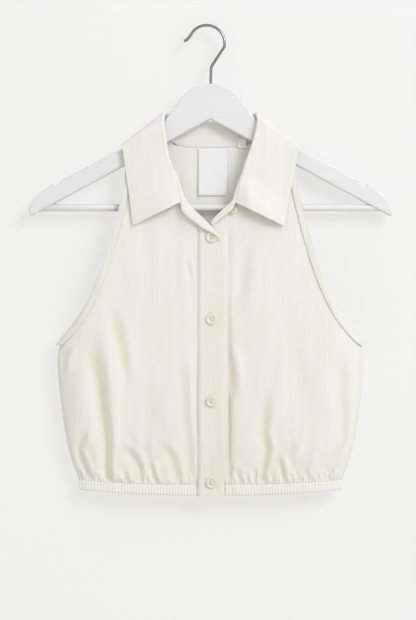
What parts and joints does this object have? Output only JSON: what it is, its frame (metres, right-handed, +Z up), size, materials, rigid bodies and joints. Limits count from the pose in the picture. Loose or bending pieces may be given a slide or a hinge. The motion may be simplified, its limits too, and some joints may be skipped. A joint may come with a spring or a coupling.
{
  "type": "sleeveless crop top on a hanger",
  "caption": "Sleeveless button-front crop top with a pointed collar and a ribbed elastic hem, hung on a white wooden hanger with a trouser bar.",
  "frame": {"origin": "seat of the hanger's hook: the point inside the wire's arc, straight above the middle of the hanger, where a rail carries it", "axes": "+Z up, the front of the garment faces -Y, +X to the right of a viewer in front of it"},
  "size_m": [0.441, 0.0416, 0.5748],
  "materials": {
    "cloth": "plain-woven ivory cotton, matt",
    "hem_band": "ivory cotton gathered over ribbed elastic, matt",
    "button": "cream resin with a raised rim, semi-gloss",
    "label": "bare white woven tape",
    "hanger_paint": "white painted wood, satin",
    "hook_steel": "plated steel wire, polished"
  },
  "bodies": {
    "root": {"back": "cloth", "front_right": "cloth", "front_left": "cloth", "placket": "cloth", "collar": "cloth", "collar_stand": "cloth", "binding_front_right": "cloth", "binding_front_left": "cloth", "binding_back_right": "cloth", "binding_back_left": "cloth", "hem_front_right": "hem_band", "hem_front_left": "hem_band", "hem_back": "hem_band", "button_1": "button", "button_2": "button", "button_3": "button", "button_4": "button", "button_stand": "button", "neck_label": "label", "size_tab": "label", "hanger_body": "hanger_paint", "hanger_bar": "hanger_paint", "hanger_hook": "hook_steel"}
  },
  "joints": []
}
